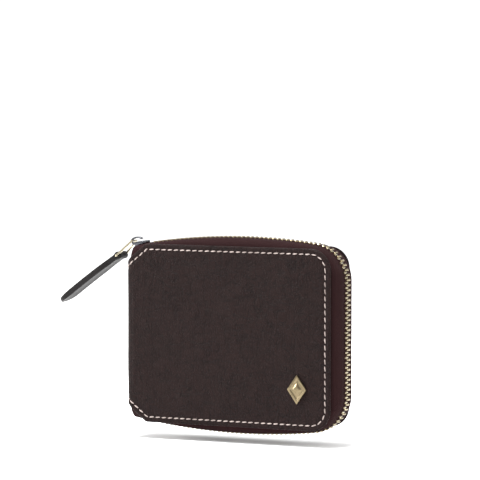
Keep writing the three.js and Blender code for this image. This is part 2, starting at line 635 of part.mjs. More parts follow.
/** The strap: leather folded round the link's lower bar, its two layers glued flat, with a round tip.
 *  In its own frame X runs from the eye to the tip. */
function addStrap(frame) {
  const half = STRAP_THICKNESS / 2;
  const neckX = Math.sqrt(STRAP_EYE_RADIUS ** 2 - half ** 2);
  const neckAngle = Math.atan2(half, neckX);
  const side = new THREE.Shape();
  side.moveTo(STRAP_LENGTH, -half);
  side.lineTo(STRAP_LENGTH, half);
  side.lineTo(neckX, half);
  side.absarc(0, 0, STRAP_EYE_RADIUS, neckAngle, 2 * Math.PI - neckAngle);
  side.closePath();
  side.holes.push(circle(0, 0, STRAP_EYE_HOLE));
  const profile = extrudeAcross(side, -STRAP_HALF_WIDTH, STRAP_HALF_WIDTH);

  const plan = new THREE.Shape();
  plan.moveTo(-STRAP_EYE_RADIUS, -STRAP_NECK_HALF_WIDTH);
  plan.lineTo(STRAP_NECK_END, -STRAP_NECK_HALF_WIDTH);
  plan.lineTo(STRAP_SHOULDER, -STRAP_HALF_WIDTH);
  plan.lineTo(STRAP_LENGTH - STRAP_HALF_WIDTH, -STRAP_HALF_WIDTH);
  plan.absarc(STRAP_LENGTH - STRAP_HALF_WIDTH, 0, STRAP_HALF_WIDTH, -Math.PI / 2, Math.PI / 2);
  plan.lineTo(STRAP_SHOULDER, STRAP_HALF_WIDTH);
  plan.lineTo(STRAP_NECK_END, STRAP_NECK_HALF_WIDTH);
  plan.lineTo(-STRAP_EYE_RADIUS, STRAP_NECK_HALF_WIDTH);
  plan.closePath();
  const planHeight = 2 * STRAP_EYE_RADIUS + GAP;
  const trim = new THREE.ExtrudeGeometry(plan, { depth: planHeight, bevelEnabled: false, curveSegments: 6 });
  trim.translate(0, 0, -planHeight / 2);
  addPiece('pull_strap', toGeometry(toSolid(profile).intersect(toSolid(trim))), 'leather', frame);
}

/** A group at a point in X and Z whose X axis points towards -X and down by an angle in degrees. */
function hangingFrame(x, z, angle) {
  const frame = new THREE.Group();
  frame.position.set(x, 0, z);
  frame.rotation.y = Math.PI - THREE.MathUtils.degToRad(angle);
  wallet.add(frame);
  return frame;
}

/** Slider, bridge, link and strap, each hung on the one before. */
function addSliderAndPull() {
  const slider = sliderFrame();
  addSliderBody(slider);
  addBridge(slider);

  slider.updateMatrixWorld(true);
  const bar = slider.localToWorld(new THREE.Vector3(LINK_BAR_T, 0, LINK_BAR_N));
  addLink(hangingFrame(bar.x, bar.z, LINK_ANGLE));

  const drop = THREE.MathUtils.degToRad(LINK_ANGLE);
  const eyeX = bar.x - LINK_LENGTH * Math.cos(drop);
  const eyeZ = bar.z - LINK_LENGTH * Math.sin(drop);
  addStrap(hangingFrame(eyeX, eyeZ, STRAP_ANGLE));
}

// ---- Assembly ----

addCover('back', 1, [
  'back_slip_pocket',
  'back_card_pocket_1',
  'back_card_pocket_2',
  'back_card_pocket_3',
]);
addCover('front', -1, [
  'front_card_pocket_1',
  'front_card_pocket_2',
  'front_card_pocket_3',
  'front_card_pocket_4',
]);
addSpine();
[['back', 1], ['front', -1]].forEach(([name, side]) => {
  addPiece(`${name}_zip_tape`, tapeGeometry(side), 'tape');
  addPiece(`${name}_zip_teeth`, teethGeometry(side), 'brass');
});
addBottomStop();
addEmblem();
addSliderAndPull();

wallet.position.set(-WIDTH / 2, -HALF, -HEIGHT / 2);
const model = new THREE.Group();
model.add(wallet);

export default model;
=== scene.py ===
# %% [markdown]
# # A zip around wallet in dark grained leather
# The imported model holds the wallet's structure: two covers on a spine, a zip round three sides, pockets
# inside, and a slider with a link and a strap. This script loads it as a fixed frame and builds the
# finished surfaces round it: hide, webbing, thread and metal. Nothing of the frame is moved.

# %% Load the frame
import json
import math

import bmesh
import bpy
from mathutils import Matrix, Vector, noise

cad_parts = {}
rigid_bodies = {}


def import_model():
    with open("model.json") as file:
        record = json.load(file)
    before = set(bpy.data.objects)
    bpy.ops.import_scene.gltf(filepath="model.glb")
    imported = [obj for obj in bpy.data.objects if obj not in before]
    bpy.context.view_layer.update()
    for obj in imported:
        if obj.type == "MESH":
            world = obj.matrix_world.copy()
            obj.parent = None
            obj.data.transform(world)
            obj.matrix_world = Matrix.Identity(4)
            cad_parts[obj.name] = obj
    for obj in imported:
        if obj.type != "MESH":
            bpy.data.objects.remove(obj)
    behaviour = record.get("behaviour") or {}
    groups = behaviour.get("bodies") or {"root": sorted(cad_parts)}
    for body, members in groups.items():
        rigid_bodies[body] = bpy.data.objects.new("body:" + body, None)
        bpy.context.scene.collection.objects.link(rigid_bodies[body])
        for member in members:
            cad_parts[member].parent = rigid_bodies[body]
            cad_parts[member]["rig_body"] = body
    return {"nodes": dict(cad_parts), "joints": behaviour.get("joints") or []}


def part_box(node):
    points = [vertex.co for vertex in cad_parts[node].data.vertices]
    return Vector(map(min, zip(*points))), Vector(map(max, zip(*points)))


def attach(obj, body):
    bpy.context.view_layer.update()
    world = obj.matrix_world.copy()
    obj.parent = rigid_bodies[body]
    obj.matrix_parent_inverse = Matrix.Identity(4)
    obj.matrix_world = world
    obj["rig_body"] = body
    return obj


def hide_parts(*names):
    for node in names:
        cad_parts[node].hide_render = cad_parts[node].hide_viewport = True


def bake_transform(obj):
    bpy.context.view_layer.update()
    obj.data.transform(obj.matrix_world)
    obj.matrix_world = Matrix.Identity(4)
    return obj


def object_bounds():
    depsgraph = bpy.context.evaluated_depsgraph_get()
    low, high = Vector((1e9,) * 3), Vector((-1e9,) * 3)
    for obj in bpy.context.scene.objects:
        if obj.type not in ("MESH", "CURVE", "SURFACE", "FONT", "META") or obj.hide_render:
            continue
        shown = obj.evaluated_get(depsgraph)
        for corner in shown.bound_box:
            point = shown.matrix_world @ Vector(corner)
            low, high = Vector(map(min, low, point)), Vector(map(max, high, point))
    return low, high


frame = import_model()
CAD_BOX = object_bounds()
MM = 0.001

# %% [markdown]
# Every place is worked out from the frame. The covers' boxes give the width, the height and the
# thickness, and the spine's box gives the wallet's left side. It is easiest to think of the wallet as
# lying on squared paper, so `spot` takes millimetres along from the spine, across from the middle of
# the thickness, and up from the covers' lower edge, and gives the place in the frame.

# %% Main sizes
front_low, front_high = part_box("front_cover")
back_low, back_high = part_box("back_cover")
spine_low, spine_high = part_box("spine_cover")
WIDTH = (front_high.x - spine_low.x) / MM
HEIGHT = (front_high.z - front_low.z) / MM
THICKNESS = (back_high.y - front_low.y) / MM
HALF = THICKNESS / 2
MIDDLE_Y = (back_high.y + front_low.y) / 2


def spot(along, across, up):
    """A point in metres from millimetres along the wallet, across its thickness and up it."""
    return Vector((spine_low.x + along * MM, MIDDLE_Y + across * MM, front_low.z + up * MM))


print(f"covers {WIDTH:.1f} x {HEIGHT:.1f} mm, {THICKNESS:.1f} mm thick")

# %% [markdown]
# The camera stands to the right of the wallet and a little above it, far away with a long lens, as in a
# catalogue, so the edges stay nearly parallel. It looks past the wallet's top, which leaves the
# empty space above it.

# %% Camera
CAMERA_SIDE = math.radians(26.13)
CAMERA_RISE = math.radians(5.18)
CAMERA_DISTANCE = 1.72
CAMERA_AIM_UP = 0.0490
CAMERA_AIM_RIGHT = 0.00156
CAMERA_LENS = 249.57

middle = spot(WIDTH / 2, 0, HEIGHT / 2)
away = Vector((
    math.sin(CAMERA_SIDE) * math.cos(CAMERA_RISE),
    -math.cos(CAMERA_SIDE) * math.cos(CAMERA_RISE),
    math.sin(CAMERA_RISE),
))
camera_data = bpy.data.cameras.new("catalogue_camera")
camera_data.lens = CAMERA_LENS
camera = bpy.data.objects.new("catalogue_camera", camera_data)
bpy.context.scene.collection.objects.link(camera)
camera.location = middle + away * CAMERA_DISTANCE
right_hand = Vector((math.cos(CAMERA_SIDE), math.sin(CAMERA_SIDE), 0))
aim = middle + Vector((0, 0, CAMERA_AIM_UP)) + right_hand * CAMERA_AIM_RIGHT
camera.rotation_mode = "QUATERNION"
camera.rotation_quaternion = (aim - camera.location).to_track_quat("-Z", "Y")
camera_data.clip_start = 0.1
camera_data.clip_end = 50
bpy.context.scene.camera = camera
print("camera at", [round(c, 3) for c in camera.location])

# %% [markdown]
# Soft studio light: a wide panel overhead and in front, a weaker one at each side, and a white room that
# fills the shadows. A pale floor just under the wallet's lowest point takes the soft shadow.

# %% Floor and lights
WHITE = (1.0, 1.0, 1.0)


def area_light(name, place, size, power):
    """A square studio panel, turned to face the wallet."""
    data = bpy.data.lights.new(name, "AREA")
    data.size = size
    data.energy = power
    data.color = WHITE
    lamp = bpy.data.objects.new(name, data)
    bpy.context.scene.collection.objects.link(lamp)
    lamp.location = place
    lamp.rotation_euler = (middle - Vector(place)).to_track_quat("-Z", "Y").to_euler()


area_light("panel_above", (-0.10, -0.20, 1.10), 0.45, 30)
area_light("panel_left", (-1.15, -0.42, 0.40), 0.3, 12)
area_light("panel_right", (1.1, 0.25, 0.30), 0.4, 6)

world = bpy.data.worlds.new("white_room")
bpy.context.scene.world = world
world.use_nodes = True
world.node_tree.nodes["Background"].inputs["Color"].default_value = (*WHITE, 1)
world.node_tree.nodes["Background"].inputs["Strength"].default_value = 1.1
bpy.context.scene.view_settings.view_transform = "Standard"

FLOOR_DROP = 0.004
FLOOR_SIZE = 80
bpy.ops.mesh.primitive_plane_add(size=FLOOR_SIZE, location=(0, 0, CAD_BOX[0].z - FLOOR_DROP))
floor = bpy.context.object
floor.name = "floor"
print("floor at", round(CAD_BOX[0].z - FLOOR_DROP, 4))

# %% [markdown]
# ## Finishes
# Shader maths reads best as plain arithmetic. `Wire` wraps one output of a node, so `grain * 0.3 + wear`
# adds the Math nodes by itself. `Finish` is one material: `node` adds any other node, and `mix` blends
# two colours. Patterns read Object coordinates in metres, so they keep their real size. Only the weave
# of the zip tape reads a UV map.

# %% A small shader language
class Wire:
    """One output of a node, which can be added, subtracted and multiplied like a number."""

    def __init__(self, finish, socket):
        self.finish = finish
        self.socket = socket

    def maths(self, operation, left, right):
        return self.finish.node("ShaderNodeMath", {"operation": operation}, {0: left, 1: right})

    def __add__(self, other):
        return self.maths("ADD", self, other)

    def __radd__(self, other):
        return self.maths("ADD", other, self)

    def __sub__(self, other):
        return self.maths("SUBTRACT", self, other)

    def __rsub__(self, other):
        return self.maths("SUBTRACT", other, self)

    def __mul__(self, other):
        return self.maths("MULTIPLY", self, other)

    def __rmul__(self, other):
        return self.maths("MULTIPLY", other, self)

    def done(self, operation, other=0.0):
        """Any other Math operation on this value."""
        return self.maths(operation, self, other)


class Finish:
    """A material with a Principled shader, and short ways to add nodes to it."""

    def __init__(self, name):
        self.material = bpy.data.materials.new(name)
        self.material.use_nodes = True
        self.tree = self.material.node_tree
        self.shader = self.tree.nodes["Principled BSDF"]

    def node(self, kind, settings=None, inputs=None, output=0):
        made = self.tree.nodes.new(kind)
        for key, value in (settings or {}).items():
            setattr(made, key, value)
        for key, value in (inputs or {}).items():
            self.join(made.inputs[key], value)
        return Wire(self, made.outputs[output])

    def join(self, socket, value):
        if isinstance(value, Wire):
            self.tree.links.new(value.socket, socket)
        else:
            socket.default_value = value

    def coordinates(self, scale=(1, 1, 1), turn=(0, 0, 0)):
        place = self.node("ShaderNodeTexCoord", output="Object")
        return self.node("ShaderNodeMapping", None, {"Vector": place, "Scale": scale, "Rotation": turn})

    def noise(self, where, scale, detail=3.0, roughness=0.5, distortion=0.0):
        values = {"Vector": where, "Scale": scale, "Detail": detail, "Roughness": roughness,
                  "Distortion": distortion}
        return self.node("ShaderNodeTexNoise", None, values)

    def cells(self, where, scale):
        """How far each place is from the edge of its cell."""
        settings = {"feature": "DISTANCE_TO_EDGE"}
        return self.node("ShaderNodeTexVoronoi", settings, {"Vector": where, "Scale": scale})

    def step(self, value, low, high):
        """Rises smoothly from 0 to 1 as the value goes from low to high."""
        inputs = {"Value": value, "From Min": low, "From Max": high}
        return self.node("ShaderNodeMapRange", {"interpolation_type": "SMOOTHSTEP"}, inputs)

    def mix(self, factor, first, second):
        """Blends two colours, each a wire or (r, g, b)."""
        FIRST, SECOND, RESULT = 6, 7, 2
        colours = [c if isinstance(c, Wire) else (*c, 1.0) for c in (first, second)]
        inputs = {0: factor, FIRST: colours[0], SECOND: colours[1]}
        return self.node("ShaderNodeMix", {"data_type": "RGBA"}, inputs, RESULT)

    def bump(self, height, distance, strength=1.0):
        inputs = {"Height": height, "Distance": distance, "Strength": strength}
        self.join(self.shader.inputs["Normal"], self.node("ShaderNodeBump", None, inputs))

    def set(self, **values):
        """Sets the shader's own sockets: base_color=..., roughness=... and so on."""
        for key, value in values.items():
            name = {"base_color": "Base Color", "roughness": "Roughness", "metallic": "Metallic",
                    "specular": "Specular IOR Level"}[key]
            if key == "base_color" and not isinstance(value, Wire):
                value = (*value, 1.0)
            self.join(self.shader.inputs[name], value)


print("shader language ready")

# %% [markdown]
# The covers are full-grain hide: small soft pebbles, long slanting creases, short upright wrinkles, and
# a satin surface. Real grain is cells with rounded tops, so the bump starts from Voronoi cells whose
# edges are warped by noise. Creases and wrinkles are where a stretched noise passes its middle value.
# The colour is painted shade over a random broad tone: it darkens between the pebbles and along the
# creases and wrinkles.

# %% Cover leather
HIDE_DARK = (0.0066, 0.0035, 0.0033)
HIDE_LIGHT = (0.0145, 0.0077, 0.0071)


def hide_finish(name, dark, light, roughness, grain_size=1.35):
    """Grained leather between two shades. grain_size is a pebble's width in millimetres."""
    f = Finish(name)
    where = f.coordinates()
    warp = f.node("ShaderNodeTexNoise", None, {"Vector": where, "Scale": 300.0, "Detail": 2.0}, 1)
    warped = f.node("ShaderNodeVectorMath", {"operation": "MULTIPLY_ADD"},
                    {0: warp, 1: (0.0016, 0.0016, 0.0016), 2: where})
    pebbles = f.step(f.cells(warped, 1000.0 / grain_size), -0.05, 0.42)
    pores = f.noise(where, 4200.0, 2.0)
    broad = f.noise(where, 30.0, 4.0, 0.55)
    patch = f.step(f.noise(where, 46.0, 2.0), 0.42, 0.62)
    slanted = f.coordinates(scale=(62, 62, 150), turn=(0, math.radians(28), 0))
    crease = f.step((f.noise(slanted, 1.0, 4.0, 0.55, 0.7) - 0.5).done("ABSOLUTE"), 0.0, 0.022)
    upright = f.coordinates(scale=(330, 330, 120), turn=(0, math.radians(-24), 0))
    wrinkle = f.step((f.noise(upright, 1.0, 3.0, 0.5, 0.8) - 0.5).done("ABSOLUTE"), 0.0, 0.06)
    folds = crease * (0.5 + patch * 0.4) + wrinkle * (0.3 + patch * 0.3)
    height = pebbles * 0.55 + pores * 0.12 + folds + broad * 0.5
    # Painted shade: darker between the pebbles and along the creases and wrinkles; the broad noise adds a
    # random tone.
    tone_and_valley_shade = f.step(broad * 0.1 + pebbles * 0.34 + crease * 0.26 + wrinkle * 0.26, 0.22, 1.02)
    colour = f.mix(tone_and_valley_shade, dark, light)
    f.set(base_color=colour, roughness=roughness + (1.0 - pebbles) * 0.16 + (broad - 0.5) * 0.06,
          specular=0.06)
    f.bump(height, 0.00038, 0.9)
    return f.material


cover_leather = hide_finish("cover_leather", HIDE_DARK, HIDE_LIGHT, 0.40)
pocket_leather = hide_finish("pocket_leather", (0.0095, 0.0050, 0.0041), (0.0185, 0.0100, 0.0085), 0.48, 0.9)
print("hides:", cover_leather.name, pocket_leather.name)

# %% [markdown]
# The strap is smoother leather. Its cut edges are sealed with edge paint, which is darker and shinier
# than the face and hides the seam between the two layers.

# %% Strap leather and edge paint
def strap_finish(name, dark, light, roughness, specular):
    f = Finish(name)
    where = f.coordinates()
    fine = f.noise(where, 2600.0, 4.0, 0.6)
    broad = f.noise(where, 140.0, 3.0)
    f.set(base_color=f.mix(f.step(broad, 0.35, 0.65), dark, light), specular=specular,
          roughness=roughness + (fine - 0.5) * 0.2)
    f.bump(fine + broad * 0.6, 0.00008, 0.5)
    return f.material


strap_leather = strap_finish("strap_leather", (0.0044, 0.0037, 0.0036), (0.0080, 0.0068, 0.0066), 0.42, 0.06)
edge_paint = strap_finish("edge_paint", (0.0030, 0.0022, 0.0021), (0.0055, 0.0042, 0.0040), 0.40, 0.16)
print("strap:", strap_leather.name, edge_paint.name)

# %% [markdown]
# Zip tape is woven in herringbone: narrow ribs that run along the tape, in which the threads slant one
# way and then the other. The pattern follows the tape round its corners, so it reads the UV map, which
# holds millimetres along and across the tape.

# %% Zip tape
RIB_WIDTH = 1.1
THREAD_PITCH = 0.52


def tape_finish():
    f = Finish("zip_tape")
    uv = f.node("ShaderNodeTexCoord", output="UV")
    along = f.node("ShaderNodeSeparateXYZ", None, {"Vector": uv}, 0)
    across = f.node("ShaderNodeSeparateXYZ", None, {"Vector": uv}, 1)
    zigzag = across.done("PINGPONG", RIB_WIDTH)
    slant = (along + zigzag * 1.2) * (2 * math.pi / THREAD_PITCH)
    thread = slant.done("SINE") * 0.5 + 0.5
    rib = (across * (math.pi / RIB_WIDTH)).done("SINE").done("ABSOLUTE")
    dust = f.noise(f.coordinates(), 900.0, 3.0)
    shade = f.mix(thread * 0.8 + dust * 0.3, (0.0060, 0.0023, 0.0025), (0.0245, 0.0098, 0.0102))
    f.set(base_color=shade, roughness=0.85, specular=0.05)
    f.bump(thread * 0.7 + rib * 0.5 + dust * 0.25, 0.00022, 0.8)
    return f.material


zip_tape = tape_finish()
print("tape:", zip_tape.name)

# %% [markdown]
# The teeth and the link are pale polished brass with a darker film in the hollows. The teeth's base
# colour is darker than the link's: painted shade for the packed chain. The slider is plated dark. Metal
# looks real when its roughness varies, as it does where fingers and thread rub it.

# %% Metals
def metal_finish(name, bright, film, roughness, film_share):
    f = Finish(name)
    where = f.coordinates()
    cloud = f.noise(where, 520.0, 4.0, 0.6)
    scratch = f.noise(f.coordinates(scale=(4200, 900, 900)), 1.0, 3.0)
    darkened = f.step(cloud, 0.62 - film_share, 0.85)
    f.set(base_color=f.mix(darkened, bright, film), metallic=1.0,
          roughness=roughness + darkened * 0.16 + (scratch - 0.5) * 0.12)
    f.bump(scratch * 0.5 + cloud * 0.5, 0.00003, 0.5)
    return f.material


# Painted shade: the teeth's brass is darker than the link's, standing in for the shade between the packed
# teeth.
zip_brass = metal_finish("zip_brass", (0.285, 0.238, 0.150), (0.08, 0.06, 0.03), 0.26, 0.10)
link_brass = metal_finish("link_brass", (0.45, 0.40, 0.29), (0.18, 0.14, 0.08), 0.24, 0.05)
emblem_brass = metal_finish("emblem_brass", (0.17, 0.135, 0.08), (0.04, 0.028, 0.015), 0.30, 0.12)
slider_gunmetal = metal_finish("slider_gunmetal", (0.085, 0.088, 0.098), (0.025, 0.025, 0.028), 0.26, 0.10)
print("metals ready")

# %% [markdown]
# The stitches are thick waxed thread in pale stone, twisted from three plies, and the linings are a fine
# twill. Both are simple next to the hide, but a flat colour would still give them away.

# %% Thread and lining
def thread_finish(name, light, dark):
    f = Finish(name)
    where = f.coordinates(turn=(0, math.radians(35), 0))
    ply = f.node("ShaderNodeTexWave", {"wave_type": "BANDS"}, {"Vector": where, "Scale": 900.0})
    dirt = f.noise(f.coordinates(), 260.0, 3.0)
    colour = f.mix(f.step(dirt, 0.35, 0.75), light, dark)
    f.set(base_color=colour, roughness=0.7, specular=0.25)
    f.bump(ply, 0.00006, 0.6)
    return f.material


def lining_finish():
    f = Finish("lining_fabric")
    where = f.coordinates(turn=(0, math.radians(45), 0))
    twill = f.node("ShaderNodeTexWave", {"wave_type": "BANDS"}, {"Vector": where, "Scale": 520.0})
    dust = f.noise(f.coordinates(), 700.0, 3.0)
    f.set(base_color=f.mix(twill * 0.6 + dust * 0.3, (0.012, 0.0066, 0.0056), (0.030, 0.0175, 0.0150)),
          roughness=0.85, specular=0.15)
    f.bump(twill + dust * 0.4, 0.00012, 0.7)
    return f.material


stitch_thread = thread_finish("stitch_thread", (0.36, 0.30, 0.275), (0.20, 0.16, 0.145))
hem_thread = thread_finish("hem_thread", (0.050, 0.028, 0.022), (0.026, 0.014, 0.011))
lining_fabric = lining_finish()


def floor_finish():
    f = Finish("studio_floor")
    grain = f.noise(f.coordinates(), 3.0, 2.0)
    f.set(base_color=f.mix(grain, (0.93, 0.93, 0.93), (0.95, 0.95, 0.95)), roughness=0.9, specular=0.1)
    return f.material


floor.data.materials.append(floor_finish())
print("thread, lining and floor ready")

# %% [markdown]
# ## Modelling helpers
# `shaped_grid` is how most leather and cloth here is made: a flat grid primitive, like a blank cut from
# the roll, whose points are then laid where the piece goes. `finished` adds thickness and a soft edge
# with modifiers and applies them, so what remains is a plain mesh.

# %% Helpers
def deselect():
    bpy.ops.object.select_all(action="DESELECT")


def apply_modifiers(piece):
    deselect()
    bpy.context.view_layer.objects.active = piece
    piece.select_set(True)
    for modifier in list(piece.modifiers):
        bpy.ops.object.modifier_apply(modifier=modifier.name)


def recalculate(piece):
    """Merges doubles and turns every face outwards."""
    mesh = bmesh.new()
    mesh.from_mesh(piece.data)
    bmesh.ops.remove_doubles(mesh, verts=mesh.verts, dist=1e-6)
    bmesh.ops.recalc_face_normals(mesh, faces=mesh.faces)
    mesh.to_mesh(piece.data)
    mesh.free()


def smooth(piece, degrees=40):
    deselect()
    bpy.context.view_layer.objects.active = piece
    piece.select_set(True)
    bpy.ops.object.shade_smooth_by_angle(angle=math.radians(degrees))


def dress(piece, material):
    piece.data.materials.clear()
    piece.data.materials.append(material)


def shaped_grid(name, columns, rows, place, measure=None):
    """A grid primitive whose point (i, j) is laid at place(i, j). measure(i, j) gives its UV, if any."""
    deselect()
    bpy.ops.mesh.primitive_grid_add(x_subdivisions=columns - 1, y_subdivisions=rows - 1, size=1)
    piece = bpy.context.object
    piece.name = name
    where = {}
    for vertex in piece.data.vertices:
        i = round((vertex.co.x + 0.5) * (columns - 1))
        j = round((vertex.co.y + 0.5) * (rows - 1))
        where[vertex.index] = (i, j)
    for index, (i, j) in where.items():
        piece.data.vertices[index].co = place(i, j)
    if measure:
        for loop in piece.data.loops:
            piece.data.uv_layers.active.data[loop.index].uv = measure(*where[loop.vertex_index])
    piece.data.update()
    return piece


def finished(piece, thickness, offset, edge=0.0):
    """Gives a sheet its thickness in metres and, if asked, a soft edge."""
    solid = piece.modifiers.new("thickness", "SOLIDIFY")
    solid.thickness = thickness
    solid.offset = offset
    if edge:
        bevel = piece.modifiers.new("soft_edge", "BEVEL")
        bevel.width = edge
        bevel.segments = 2
        bevel.limit_method = "ANGLE"
        bevel.angle_limit = math.radians(50)
    apply_modifiers(piece)
    return piece


def refined(node, name, bevel, material, segments=2, body=None):
    """A bevelled copy of a CAD node, merged first, that stands for it."""
    piece = frame["nodes"][node].copy()
    piece.data = piece.data.copy()
    for key in list(piece.keys()):
        if key.startswith("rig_"):
            del piece[key]
    piece.name = name
    piece.parent = None
    piece.hide_render = False
    piece.hide_viewport = False
    bpy.context.scene.collection.objects.link(piece)
    recalculate(piece)
    deselect()
    bpy.context.view_layer.objects.active = piece
    piece.select_set(True)
    bpy.ops.object.mode_set(mode="EDIT")
    bpy.ops.mesh.select_all(action="SELECT")
    bpy.ops.mesh.dissolve_limited(angle_limit=math.radians(1))
    bpy.ops.object.mode_set(mode="OBJECT")
    soft = piece.modifiers.new("soft_edge", "BEVEL")
    soft.width = bevel
    soft.segments = segments
    soft.limit_method = "ANGLE"
    soft.angle_limit = math.radians(30)
    apply_modifiers(piece)
    smooth(piece)
    dress(piece, material)
    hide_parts(node)
    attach(piece, body or frame["nodes"][node]["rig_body"])
    return piece


print("helpers ready")

# %% [markdown]
# ## The covers
# On the real wallet one hide wraps the back, the spine and the front. It is cut in two here along the
# middle of the spine, where nobody looks, because each half then bends round one fold only. A column of
# the grid is a line up the hide, counted from the middle of the spine: first across the spine, then
# round the fold, then along the panel. Rows crowd together near the edges, where the leather is turned
# over and sewn, because that is where the shape is.

# %% The hide's outline and surface
CORNER = 11.0
CUT_ALONG = 11.5
CUT_UP = 9.1
LEATHER = (front_high.y - front_low.y) / MM
FOLD = (front_low.x - spine_low.x) / MM
SPINE_REACH = (spine_high.y - spine_low.y) / MM / 2
FOLD_LENGTH = FOLD * math.pi / 2
PANEL_START = SPINE_REACH + FOLD_LENGTH
HIDE_LENGTH = PANEL_START + WIDTH - FOLD
STITCH_INSET = 2.85
TURNED_EDGE = 1.0
GROOVE_DEPTH, GROOVE_WIDTH = 0.26, 0.7
PADDING, PADDING_REACH = 0.45, 14
WAVE = 0.16


def edge_height(walk):
    """How far up the hide's lower edge lies, at a distance walked from the middle of the spine."""
    if walk <= SPINE_REACH:
        return CUT_UP
    along = walk - PANEL_START + FOLD
    if along < FOLD:
        share = (walk - SPINE_REACH) / FOLD_LENGTH
        return CUT_UP * (1 - FOLD * (1 - math.cos(share * math.pi / 2)) / CUT_ALONG)
    if along < CUT_ALONG:
        return CUT_UP * (1 - along / CUT_ALONG)
    if along < WIDTH - CORNER:
        return 0.0
    return CORNER - math.sqrt(max(0.0, CORNER ** 2 - (along - WIDTH + CORNER) ** 2))


def edge_distance(walk, up):
    """How far a point of the hide is from its nearest cut edge."""
    low = min(up, HEIGHT - up)
    along = walk - PANEL_START + FOLD
    if along < FOLD:
        return (low - edge_height(walk)) * 0.75
    nearest = min(low, WIDTH - along)
    if along < 2 * CUT_ALONG:
        cut = (along / CUT_ALONG + low / CUT_UP - 1) / math.hypot(1 / CUT_ALONG, 1 / CUT_UP)
        nearest = min(nearest, cut)
    if along > WIDTH - CORNER and low < CORNER:
        nearest = CORNER - math.hypot(along - WIDTH + CORNER, low - CORNER)
    return max(nearest, 0.0)


def hide_point(walk, up, side, lift=0.0):
    """A point on the hide's outer surface, lift millimetres above it, and the way the surface faces."""
    if walk <= SPINE_REACH:
        along, across, facing = 0.0, side * walk, Vector((-1, 0, 0))
    elif walk < PANEL_START:
        angle = (walk - SPINE_REACH) / FOLD
        along = FOLD * (1 - math.cos(angle))
        across = side * (SPINE_REACH + FOLD * math.sin(angle))
        facing = Vector((-math.cos(angle), side * math.sin(angle), 0))
    else:
        along, across, facing = walk - PANEL_START + FOLD, side * HALF, Vector((0, side, 0))
    distance = edge_distance(walk, up)
    sunk = 0.0
    if distance < TURNED_EDGE:
        sunk = TURNED_EDGE * (1 - math.sqrt(max(0.0, 1 - (1 - distance / TURNED_EDGE) ** 2)))
    if walk > SPINE_REACH:
        sunk += GROOVE_DEPTH * math.exp(-((distance - STITCH_INSET) / GROOVE_WIDTH) ** 2)
    padding = PADDING * min(1.0, distance / PADDING_REACH) if walk > PANEL_START else 0.0
    wave = WAVE * noise.noise(Vector((walk * 0.045, up * 0.05, side * 3.1))) * min(1.0, distance / 5)
    return spot(along, across, up) + facing * ((padding + wave - sunk + lift) * MM), facing


print(f"hide {HIDE_LENGTH * 2:.1f} x {HEIGHT:.1f} mm before folding")

# %% [markdown]
# The two halves of the hide are laid out from the same rules.

# %% Lay and fold the hide
NEAR_EDGE = [0.0, 0.18, 0.42, 0.75, 1.2, 1.75, 2.3, 2.85, 3.4, 4.1, 5.2, 6.8]


def even(start, end, step):
    count = max(1, round((end - start) / step))
    return [start + (end - start) * k / count for k in range(count)]


def hide_columns():
    free_edge = HIDE_LENGTH
    corner_start = free_edge - CORNER
    columns = even(0, SPINE_REACH, 1.4) + even(SPINE_REACH, PANEL_START, 0.6)
    columns += even(PANEL_START, PANEL_START + CUT_ALONG, 0.8)
    columns += even(PANEL_START + CUT_ALONG, corner_start, 1.9)
    round_steps = 22
    for k in range(round_steps):
        columns.append(corner_start + CORNER * math.sin(k / round_steps * math.pi / 2))
    columns.append(free_edge)
    return columns


def hide_rows():
    """For each row, which long edge it is measured from and how far inward it lies."""
    half = NEAR_EDGE + even(NEAR_EDGE[-1] + 1.9, HEIGHT / 2, 1.9)
    return [("low", inward) for inward in half] + [("high", inward) for inward in reversed(half)]


def make_hide(name, side):
    columns, rows = hide_columns(), hide_rows()

    def place(i, j):
        edge = edge_height(columns[i])
        end, inward = rows[j]
        up = edge + inward * (1 - edge * 2 / HEIGHT)
        return hide_point(columns[i], up if end == "low" else HEIGHT - up, side)[0]

    piece = shaped_grid(name, len(columns), len(rows), place)
    recalculate(piece)
    facing = sum(p.normal.y * p.area for p in piece.data.polygons)
    if facing * side < 0:
        piece.data.flip_normals()
    finished(piece, LEATHER * MM * 0.9, -1.0)
    smooth(piece, 60)
    dress(piece, cover_leather)
    return piece


hide_front = make_hide("cover_front_leather", -1)
hide_back = make_hide("cover_back_leather", 1)
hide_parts("front_cover")
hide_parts("back_cover", "spine_cover")
print("hide points:", len(hide_front.data.vertices))

# %% [markdown]
# Saddle stitches run round every edge but the spine. One stitch is a short plump length of thread whose
# ends dive into the leather. It is modelled once and copied at an even pitch along the seam, each copy
# leaning a little, as hand-set stitches do.

# %% One stitch
STITCH_PITCH = 3.55
STITCH_LENGTH = 3.0
THREAD = 0.66
STITCH_LEAN = math.radians(7)


